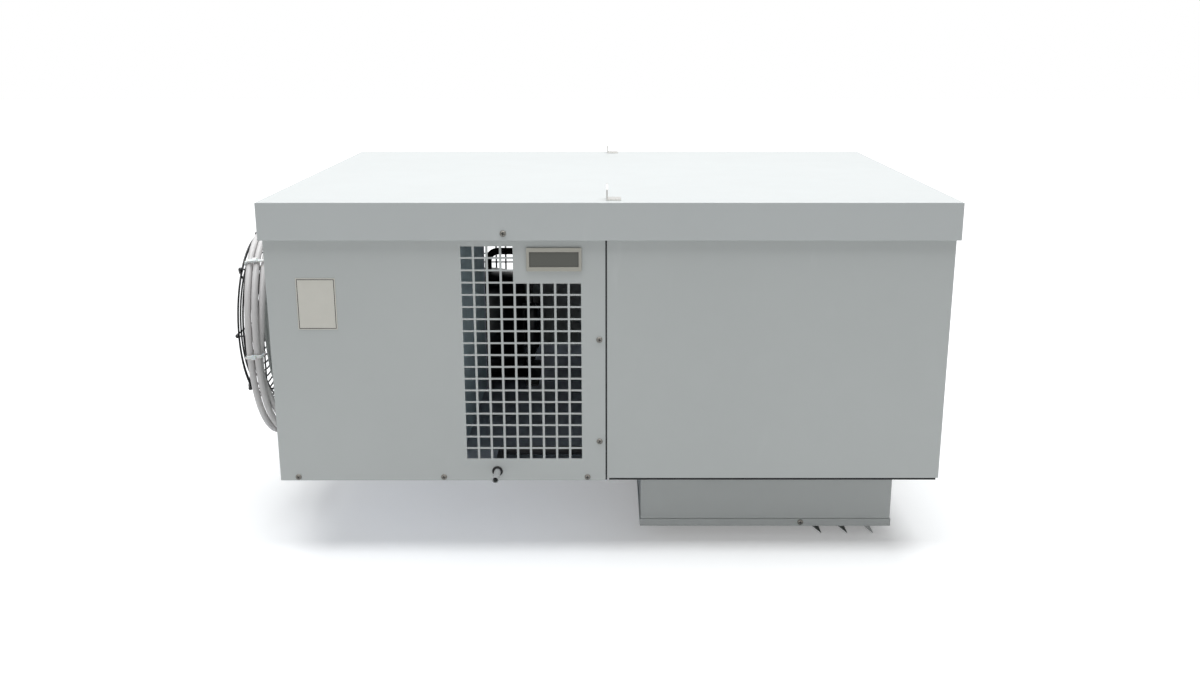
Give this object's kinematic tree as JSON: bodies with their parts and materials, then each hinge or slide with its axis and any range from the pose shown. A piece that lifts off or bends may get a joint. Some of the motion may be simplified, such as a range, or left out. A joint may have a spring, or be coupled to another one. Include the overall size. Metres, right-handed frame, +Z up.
{
  "type": "monoblock condensing unit",
  "caption": "Roof-mounted monoblock cooler: grilled condensing section with end fan and coiled mains lead, beside an insulated box whose louvred plug drops through the ceiling.",
  "frame": {"origin": "centre of the ceiling cut-out, at the roof plane that the gasket lies on", "axes": "+X to the right along the unit, from the condensing section to the insulated box; +Y to the rear, away from the controller; +Z up, away from the roof"},
  "size_m": [1.081, 0.748, 0.5644],
  "materials": {
    "casing_paint": "satin grey powder coat",
    "lid_paint": "semi-gloss white powder coat",
    "liner_paint": "white pre-painted sheet",
    "galvanised": "galvanised sheet",
    "bright_steel": "turned steel",
    "gasket": "black closed-cell rubber",
    "foam": "cut polyurethane foam",
    "fins": "bare aluminium fins",
    "black_paint": "satin black",
    "copper": "bare copper tube",
    "grey_plastic": "matt grey plastic",
    "bezel_plastic": "fine matt grey-beige plastic",
    "window_plastic": "dark translucent window",
    "black_plastic": "matt black plastic",
    "cable_jacket": "light grey cable jacket",
    "white_nylon": "white nylon"
  },
  "bodies": {
    "casing": {"base_pan": "galvanised", "front_grille_panel": "casing_paint", "rear_grille_panel": "casing_paint", "left_end_panel": "casing_paint", "partition_skin": "galvanised", "front_right_panel": "casing_paint", "rear_right_panel": "casing_paint", "right_end_panel": "casing_paint", "box_floor": "casing_paint", "roof_gasket": "gasket", "lid": "lid_paint", "lifting_lugs": "galvanised", "foam_walls": "foam", "foam_top": "foam", "chamber_liner": "liner_paint", "plug_front_sheet": "casing_paint", "plug_rear_sheet": "casing_paint", "plug_left_sheet": "casing_paint", "plug_right_sheet": "casing_paint", "plug_foam": "foam", "plug_bottom_cover": "casing_paint", "louvre_blades": "casing_paint", "condenser_coil": "fins", "condenser_tube_plates": "galvanised", "evaporator_coil": "fins", "evaporator_tube_plates": "galvanised", "fan_duct": "galvanised", "evaporator_fan_brackets": "galvanised", "fan_spindles": "bright_steel", "condenser_fan_guard": "black_paint", "compressor_shell": "black_paint", "compressor_foot": "black_paint", "compressor_terminal_box": "black_plastic", "refrigerant_pipes": "copper", "electrical_box": "grey_plastic", "drain_pan": "liner_paint", "air_divider": "liner_paint", "drain_spigot": "grey_plastic", "drain_hose": "black_plastic", "controller_bezel": "bezel_plastic", "display_window": "window_plastic", "controller_body": "black_plastic", "cable_gland": "black_plastic", "mains_cable_turns": "cable_jacket", "mains_cable_tail": "cable_jacket", "mains_plug": "grey_plastic", "cable_ties": "white_nylon"},
    "condenser_fan": {"condenser_impeller": "black_paint"},
    "front_chamber_fan": {"evaporator_impeller_front": "black_paint"},
    "rear_chamber_fan": {"evaporator_impeller_rear": "black_paint"}
  },
  "joints": [
    {"name": "condenser_fan_spin", "type": "hinge", "parent": "casing", "child": "condenser_fan", "pos_m": [-0.82, -0.1147, 0.198], "axis": [1, 0, 0], "continuous": true},
    {"name": "front_chamber_fan_spin", "type": "hinge", "parent": "casing", "child": "front_chamber_fan", "pos_m": [-0.078, -0.142, -0.095], "axis": [0, 0, 1], "continuous": true},
    {"name": "rear_chamber_fan_spin", "type": "hinge", "parent": "casing", "child": "rear_chamber_fan", "pos_m": [-0.078, 0.142, -0.095], "axis": [0, 0, 1], "continuous": true}
  ]
}
